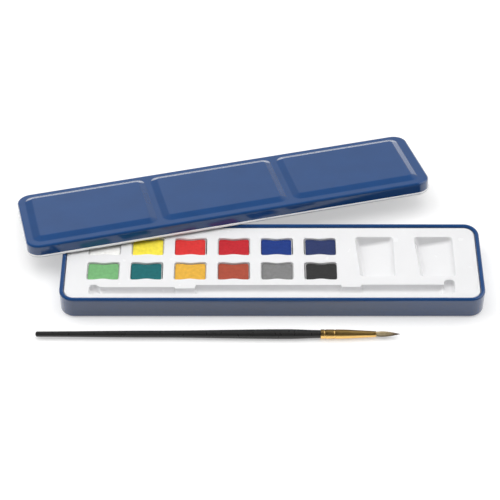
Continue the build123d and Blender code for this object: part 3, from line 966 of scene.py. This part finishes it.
class PAINTBOX_OT_colour_tray(bpy.types.Operator):
    """Model the moulded tray with its pockets, its wells and its brush groove"""

    bl_idname = "paint_box.colour_tray"
    bl_label = "Colour Tray"
    bl_options = {"REGISTER", "UNDO"}

    def execute(self, context):
        """Draws the skirt, joins the hollows to it and fills the plate between them."""
        sizes = context.scene.paint_box_tray
        top = tray_high.z
        half_length = tray_high.x
        half_width = tray_high.y
        front = sizes.corner - half_width
        hollows = [make_groove(sizes)]
        pocket = make_pocket(sizes)
        for colour in BACK_ROW + FRONT_ROW:
            copy = pocket.copy()
            copy.data = pocket.data.copy()
            context.collection.objects.link(copy)
            place(copy, Matrix.Translation(pocket_place(sizes, colour)))
            hollows.append(copy)
        bpy.data.objects.remove(pocket)
        second = half_length - sizes.well_right - sizes.well_length
        first = second - sizes.well_gap - sizes.well_length
        hollows.extend(make_well(sizes, left) for left in (first, second))
        piece = begin_drawing("colour_tray_shell", (half_length - sizes.edge, front, top))
        draw_arc((half_length - sizes.edge, front, top - sizes.edge), 90, steps=5)
        draw_by((0, 0, tray_low.z - top + sizes.edge))
        run_round(half_length, half_width, sizes.corner)
        join_into(piece, hollows)
        bpy.ops.object.mode_set(mode="EDIT")
        choose(piece, "EDGE", open_edge_at(top))
        bpy.ops.mesh.fill(use_beauty=True)
        end_drawing()
        add_thickness(piece, sizes.wall, 0, even=False)
        smooth(piece)
        finish_piece(piece, "tin", "tray_plastic", ["colour_tray"])
        return {"FINISHED"}


def pocket_place(sizes, colour):
    """Where a colour's pocket is: evenly along the row, level with its pan."""
    row = BACK_ROW if colour in BACK_ROW else FRONT_ROW
    wells_reach = 2 * sizes.well_length + sizes.well_gap + sizes.well_right
    first = tray_low.x + sizes.left_margin + sizes.pocket_length / 2
    last = tray_high.x - wells_reach - sizes.pocket_well_gap - sizes.pocket_length / 2
    low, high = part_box("half_pan_" + colour)
    share = row.index(colour) / (len(row) - 1)
    return Vector((mixed(first, last, share), (low.y + high.y) / 2, 0))


def pan_outline(colour):
    """A half pan's foot, and its length and width, which follow its pocket's."""
    low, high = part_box("half_pan_" + colour)
    pocket = bpy.context.scene.paint_box_tray
    sizes = bpy.context.scene.paint_box_colours
    bottom = Vector(((low.x + high.x) / 2, (low.y + high.y) / 2, low.z))
    length = pocket.pocket_length - 2 * sizes.pan_end_gap
    return bottom, length, pocket.pocket_width - 2 * sizes.pan_gap


class PAINTBOX_OT_half_pans(bpy.types.Operator):
    """Model the twelve half pans"""

    bl_idname = "paint_box.half_pans"
    bl_label = "Half Pans"
    bl_options = {"REGISTER", "UNDO"}

    def execute(self, context):
        """Draws up a rounded cup at each pan's place."""
        sizes = context.scene.paint_box_colours
        for colour in BACK_ROW + FRONT_ROW:
            bottom, length, width = pan_outline(colour)
            piece = begin_pinched_face(
                "pan_" + colour, bottom, length, width, sizes.pan_corner, steps=6
            )
            lip = sizes.pan_lip
            draw_by((0, 0, sizes.pan_height - lip))
            inset_arc(lip, 90, 0, steps=3)
            inset_by(sizes.pan_wall - 2 * lip, 0)
            inset_arc(lip, 0, 90, steps=3, sign=-1)
            draw_by((0, 0, sizes.pan_floor - sizes.pan_height + lip))
            end_drawing()
            smooth(piece)
            finish_piece(piece, "pan_" + colour, "pan_plastic", ["half_pan_" + colour])
        return {"FINISHED"}


class PAINTBOX_OT_cakes(bpy.types.Operator):
    """Model the twelve pressed paint cakes"""

    bl_idname = "paint_box.cakes"
    bl_label = "Paint Cakes"
    bl_options = {"REGISTER", "UNDO"}

    def execute(self, context):
        """Presses a rounded block into each pan and roughens its top a little."""
        sizes = context.scene.paint_box_colours
        for colour in BACK_ROW + FRONT_ROW:
            piece = press_cake(sizes, colour)
            finish_piece(piece, "pan_" + colour, "paint_" + colour, ["cake_" + colour])
        return {"FINISHED"}


# share of a cake's rounded edge that is as uneven as its top
UNEVEN_EDGE = 0.3


def press_cake(sizes, colour):
    """One cake: a rounded block whose top is a little uneven."""
    bottom, length, width = pan_outline(colour)
    inset = sizes.pan_wall + sizes.cake_gap
    high = bottom.z + sizes.pan_height - sizes.cake_drop
    bottom.z += sizes.pan_floor
    corner = sizes.pan_corner - inset
    piece = begin_pinched_face(
        "paint_cake_" + colour, bottom, length - 2 * inset, width - 2 * inset, corner, steps=5
    )
    draw_by((0, 0, high - bottom.z - sizes.cake_edge))
    inset_arc(sizes.cake_edge, 90, 0, steps=4)
    end_drawing()
    grain = piece.modifiers.new("Grain", "REMESH")
    grain.mode = "VOXEL"
    grain.voxel_size = sizes.cake_grain
    apply_modifier(piece, grain)
    bpy.ops.object.mode_set(mode="EDIT")
    top = high - UNEVEN_EDGE * sizes.cake_edge
    choose(piece, "VERT", lambda point: point.co.z > top)
    bpy.ops.object.vertex_group_assign_new()
    clear_selection()
    pattern = bpy.data.textures.new("cake_" + colour, "CLOUDS")
    pattern.noise_scale = sizes.cake_wave_length
    pattern.noise_depth = 1
    uneven = piece.modifiers.new("Uneven", "DISPLACE")
    uneven.texture = pattern
    uneven.texture_coords = "GLOBAL"
    uneven.direction = "Z"
    uneven.mid_level = 1.0
    uneven.strength = 2.0 * sizes.cake_wave
    uneven.vertex_group = piece.vertex_groups[0].name
    apply_modifier(piece, uneven)
    bpy.data.textures.remove(pattern)
    even = piece.modifiers.new("Even", "SMOOTH")
    even.factor = 0.5
    even.iterations = 3
    apply_modifier(piece, even)
    smooth(piece, degrees=60, weighted=False)
    return piece


def brush_axis():
    """How far back and how high the line through the middle of the brush lies."""
    return (handle_low.y + handle_high.y) / 2, (handle_low.z + handle_high.z) / 2


def draw_profile(name, points):
    """Draws a line through points given as distance along the brush and radius."""
    axis_y, axis_z = brush_axis()
    places = [Vector((handle_low.x + along, axis_y, axis_z + radius)) for along, radius in points]
    piece = begin_drawing(name, places[0])
    for start, end in zip(places, places[1:]):
        draw_by(end - start)
    return piece


def turn_profile(piece, steps):
    """Turns the drawn line once about the brush's axis."""
    axis_y, axis_z = brush_axis()
    bpy.ops.mesh.select_all(action="SELECT")
    bpy.ops.mesh.spin(steps=steps, angle=math.tau, center=(0, axis_y, axis_z), axis=(1, 0, 0))
    end_drawing()


class PAINTBOX_OT_brush_handle(bpy.types.Operator):
    """Turn the brush's handle"""

    bl_idname = "paint_box.brush_handle"
    bl_label = "Brush Handle"
    bl_options = {"REGISTER", "UNDO"}

    def execute(self, context):
        """Draws the handle's outline and turns it about the brush's axis."""
        sizes = context.scene.paint_box_brush
        neck_at = ferrule_low.x - handle_low.x
        total = handle_high.x - handle_low.x
        points = []
        for share in shares(8):
            angle = math.radians(90) * share
            along = sizes.end_round * (1 - math.cos(angle))
            points.append((along, max(NEAR, sizes.end_radius * math.sin(angle))))
        stretches = (
            (sizes.end_round, sizes.end_radius, sizes.waist_at, sizes.waist_radius, 14),
            (sizes.waist_at, sizes.waist_radius, sizes.belly_at, sizes.belly_radius, 18),
            (sizes.belly_at, sizes.belly_radius, neck_at, sizes.neck_radius, 10),
        )
        for start, start_radius, end, end_radius, steps in stretches:
            for share in shares(steps, first=1):
                points.append((mixed(start, end, share), eased(start_radius, end_radius, share)))
        points.append((neck_at + sizes.tenon_step, sizes.tenon_radius))
        points.append((total, sizes.tenon_radius))
        points.append((total, NEAR))
        piece = draw_profile("brush_handle_wood", points)
        turn_profile(piece, steps=40)
        smooth(piece, degrees=40, weighted=False)
        finish_piece(piece, "brush", "handle_lacquer", ["brush_handle"])
        return {"FINISHED"}


def ferrule_points(sizes, inset):
    """Outline of the ferrule from its mouth to its nose, inset by a thickness."""
    start = ferrule_low.x - handle_low.x
    end = ferrule_high.x - handle_low.x
    radius = sizes.mouth_radius - inset
    points = [(start, radius)]
    for crimp in (sizes.crimp_one, sizes.crimp_two):
        for share in shares(8):
            along = start + crimp + sizes.crimp_length * (share - 0.5)
            points.append((along, radius - sizes.crimp_depth * math.sin(math.pi * share) ** 2))
    smooth_from = start + sizes.crimp_two + sizes.crimp_length
    middle = start + sizes.middle_at
    middle_radius = sizes.middle_radius - inset
    for share in shares(4, first=1):
        points.append((mixed(smooth_from, middle, share), mixed(radius, middle_radius, share)))
    nose_radius = sizes.nose_radius - inset
    for share in shares(8, first=1):
        points.append((mixed(middle, end, share), mixed(middle_radius, nose_radius, share)))
    return points


class PAINTBOX_OT_ferrule(bpy.types.Operator):
    """Turn the brush's ferrule with its crimps"""

    bl_idname = "paint_box.ferrule"
    bl_label = "Ferrule"
    bl_options = {"REGISTER", "UNDO"}

    def execute(self, context):
        """Draws both faces of the sheet and turns them about the brush's axis."""
        sizes = context.scene.paint_box_brush
        outer = ferrule_points(sizes, 0)
        inner = ferrule_points(sizes, sizes.ferrule_sheet)
        outline = outer + inner[::-1]
        piece = draw_profile("brush_ferrule_metal", outline + [outer[0]])
        turn_profile(piece, steps=48)
        smooth(piece, degrees=40, weighted=False)
        finish_piece(piece, "brush", "ferrule_metal", ["brush_ferrule"])
        return {"FINISHED"}


# powers that shape the hair between its belly and its point
TAPER_AT_BELLY = 1.7
TAPER_AT_POINT = 1.05

# points along one hair after its first, and the turn from one hair to the next
HAIR_STEPS = 8
HAIR_TURN = math.pi * (3 - math.sqrt(5))

# first of the random numbers, inner share of the tuft's section that the hairs leave to the
# core, how rare the short hairs are, and how far a hair bends round the tuft, in radians
HAIR_SEED = 7
HAIR_INSIDE = 0.55
HAIR_RARE = 2.2
HAIR_BEND = 0.12


def tuft_radius(sizes, along):
    """Radius of the hair at a distance from the ferrule's nose."""
    length = tuft_high.x - ferrule_high.x
    if along < sizes.hair_belly_at:
        return eased(sizes.hair_root, sizes.hair_belly, max(0.0, along) / sizes.hair_belly_at)
    share = min(1.0, (along - sizes.hair_belly_at) / (length - sizes.hair_belly_at))
    return sizes.hair_belly * (1 - share**TAPER_AT_BELLY) ** TAPER_AT_POINT


def lay_hair(sizes, spline, number, chance):
    """One hair, from just inside the metal along the tuft, bent a little to one side."""
    axis_y, axis_z = brush_axis()
    length = tuft_high.x - ferrule_high.x
    depth = math.sqrt(chance.uniform(HAIR_INSIDE, 1.0))
    reach = length * (1 - sizes.hair_short * chance.random() ** HAIR_RARE)
    bend = chance.uniform(-HAIR_BEND, HAIR_BEND)
    spline.points.add(HAIR_STEPS)
    for point, share in zip(spline.points, shares(HAIR_STEPS)):
        along = mixed(-sizes.hair_sunk, reach, share)
        # a hair starts near the outside, comes to lie deeper towards its end and thins there
        radius = tuft_radius(sizes, along) * mixed(0.99, depth, 0.25 + 0.5 * share)
        turned = number * HAIR_TURN + bend * share
        across = radius * math.cos(turned)
        up = radius * math.sin(turned)
        point.co = (ferrule_high.x + along, axis_y + across, axis_z + up, 1)
        point.radius = mixed(1.0, 0.25, share**2)


class PAINTBOX_OT_tuft(bpy.types.Operator):
    """Model the brush's hair"""

    bl_idname = "paint_box.tuft"
    bl_label = "Brush Hair"
    bl_options = {"REGISTER", "UNDO"}

    def execute(self, context):
        """Turns a slim core and lays fine hairs over it."""
        sizes = context.scene.paint_box_brush
        start = tuft_low.x - handle_low.x
        root = ferrule_high.x - handle_low.x
        root_radius = sizes.hair_root * 0.97
        length = (tuft_high.x - ferrule_high.x) * 0.99
        points = [(start, NEAR), (start, root_radius)]
        for share in shares(24):
            along = length * share
            points.append((root + along, max(NEAR, tuft_radius(sizes, along) * sizes.hair_core)))
        core = draw_profile("brush_hair_core", points)
        turn_profile(core, steps=32)
        smooth(core, degrees=60, weighted=False)
        chance = random.Random(HAIR_SEED)
        curve = bpy.data.curves.new("brush_hairs", "CURVE")
        curve.dimensions = "3D"
        curve.bevel_depth = sizes.hair_radius
        curve.bevel_resolution = 0
        for number in range(sizes.hair_count):
            lay_hair(sizes, curve.splines.new("POLY"), number, chance)
        hairs = bpy.data.objects.new("brush_hairs", curve)
        bpy.context.collection.objects.link(hairs)
        select_only(hairs)
        bpy.ops.object.convert(target="MESH")
        join_into(core, [hairs])
        core.name = "brush_tuft_hair"
        bpy.ops.object.shade_smooth()
        finish_piece(core, "brush", "brush_hair", ["brush_tuft"])
        return {"FINISHED"}


# stage


def make_camera(settings):
    """The camera at the photograph's angle."""
    data = bpy.data.cameras.new("camera")
    data.lens = settings.lens / MM
    data.clip_start = 0.05
    data.clip_end = 50
    camera = bpy.data.objects.new("camera", data)
    bpy.context.collection.objects.link(camera)
    camera.location = settings.camera_place
    camera.rotation_euler = (settings.camera_tilt, 0, 0)
    bpy.context.scene.camera = camera


def make_floor(settings, colour):
    """A wide plain floor that shows white and keeps soft shadows."""
    clear_selection()
    bpy.ops.mesh.primitive_plane_add(size=settings.floor_size, location=(0, 0, 0))
    floor = bpy.context.object
    floor.name = "floor"
    material = bpy.data.materials.new("plain_floor")
    nodes = Nodes(material)
    nodes.tree.nodes.clear()
    path = nodes.add("ShaderNodeLightPath").outputs
    direct = nodes.reckon("ADD", path["Is Camera Ray"], path["Is Glossy Ray"])
    seen = nodes.reckon("ADD", direct, path["Is Transmission Ray"])
    diffuse = nodes.add("ShaderNodeBsdfDiffuse", Color=(*colour, 1))
    glow = nodes.add("ShaderNodeEmission")
    nodes.join(nodes.ranged(seen, 0.0, settings.floor_lift, 0.0, 1.0), glow.inputs["Strength"])
    both = nodes.add("ShaderNodeAddShader")
    nodes.join(diffuse.outputs[0], both.inputs[0])
    nodes.join(glow.outputs[0], both.inputs[1])
    output = nodes.add("ShaderNodeOutputMaterial")
    nodes.join(both.outputs[0], output.inputs["Surface"])
    floor.data.materials.append(material)


def greys(stops):
    """Colour stops from stops that give only a brightness."""
    return [(position, (light, light, light)) for position, light in stops]


def make_world(settings):
    """A plain grey studio sky, darker above, at the front and at the left."""
    world = bpy.data.worlds.new("studio")
    bpy.context.scene.world = world
    nodes = Nodes(world)
    nodes.tree.nodes.clear()
    place = nodes.add("ShaderNodeTexCoord").outputs["Generated"]
    split = nodes.add("ShaderNodeSeparateXYZ")
    nodes.join(place, split.inputs[0])
    heights = ((0.1, settings.sky_edge), (0.62, settings.sky_middle), (0.92, settings.sky_top))
    light = nodes.ramp(split.outputs["Z"], greys(heights))
    # from the left to the right, with a slightly darker middle
    across = nodes.ranged(split.outputs["X"], 0.0, 1.0, -1.0, 1.0)
    sides = ((0.2, settings.sky_left), (0.41, 1.0), (0.5, 0.85), (1.0, 1.0))
    # from the front to the back
    front = nodes.ranged(split.outputs["Y"], settings.sky_front, 1.0, -0.35, 0.05)
    share = nodes.reckon("MULTIPLY", nodes.ramp(across, greys(sides)), front)
    back = nodes.add("ShaderNodeBackground")
    nodes.join(light, back.inputs["Color"])
    nodes.join(share, back.inputs["Strength"])
    output = nodes.add("ShaderNodeOutputWorld")
    nodes.join(back.outputs[0], output.inputs["Surface"])


def make_soft_light(settings, side, mirrored):
    """A large soft light that looks at the object, and may be mirrored in it."""
    name = side + "_light"
    spot = getattr(settings, side + "_place")
    data = bpy.data.lights.new(name, "AREA")
    data.shape = "SQUARE"
    data.size = settings.light_size
    data.energy = getattr(settings, side + "_power")
    lamp = bpy.data.objects.new(name, data)
    bpy.context.collection.objects.link(lamp)
    lamp.visible_glossy = mirrored
    lamp.location = spot
    lamp.rotation_euler = (-Vector(spot)).to_track_quat("-Z", "Y").to_euler()


class PAINTBOX_OT_stage(bpy.types.Operator):
    """Set up the floor, the studio light and the camera"""

    bl_idname = "paint_box.stage"
    bl_label = "Stage"
    bl_options = {"REGISTER", "UNDO"}

    def execute(self, context):
        """Makes the floor, the sky, the lights and the camera."""
        scene = context.scene
        settings = scene.paint_box_stage
        scene.view_settings.view_transform = "Standard"
        make_floor(settings, scene.paint_box_finish.floor)
        make_world(settings)
        for side, mirrored in (("left", False), ("right", True), ("top", False)):
            make_soft_light(settings, side, mirrored)
        make_camera(settings)
        return {"FINISHED"}


OPERATORS = (
    PAINTBOX_OT_base_tin,
    PAINTBOX_OT_lid_tin,
    PAINTBOX_OT_colour_tray,
    PAINTBOX_OT_half_pans,
    PAINTBOX_OT_cakes,
    PAINTBOX_OT_brush_handle,
    PAINTBOX_OT_ferrule,
    PAINTBOX_OT_tuft,
    PAINTBOX_OT_stage,
)


class PAINTBOX_PT_panel(bpy.types.Panel):
    """Lists the steps that build the paint box"""

    bl_label = "Paint Box"
    bl_space_type = "VIEW_3D"
    bl_region_type = "UI"
    bl_category = "Paint Box"

    def draw(self, context):
        """Draws one button for each step and then the settings."""
        for step in OPERATORS:
            self.layout.operator(step.bl_idname)
        for name, group in SETTINGS.items():
            box = self.layout.box()
            for setting in group.__annotations__:
                box.prop(getattr(context.scene, name), setting)


def register():
    """Registers the settings, the steps and the panel."""
    for name, group in SETTINGS.items():
        bpy.utils.register_class(group)
        setattr(bpy.types.Scene, name, PointerProperty(type=group))
    for step in OPERATORS:
        bpy.utils.register_class(step)
    bpy.utils.register_class(PAINTBOX_PT_panel)


def unregister():
    """Takes the panel, the steps and the settings away."""
    bpy.utils.unregister_class(PAINTBOX_PT_panel)
    for step in reversed(OPERATORS):
        bpy.utils.unregister_class(step)
    for name, group in reversed(SETTINGS.items()):
        delattr(bpy.types.Scene, name)
        bpy.utils.unregister_class(group)


def main():
    """Builds every piece."""
    register()
    bpy.ops.paint_box.base_tin()
    bpy.ops.paint_box.lid_tin()
    bpy.ops.paint_box.colour_tray()
    bpy.ops.paint_box.half_pans()
    bpy.ops.paint_box.cakes()
    bpy.ops.paint_box.brush_handle()
    bpy.ops.paint_box.ferrule()
    bpy.ops.paint_box.tuft()
    bpy.ops.paint_box.stage()


if __name__ == "__main__":
    main()
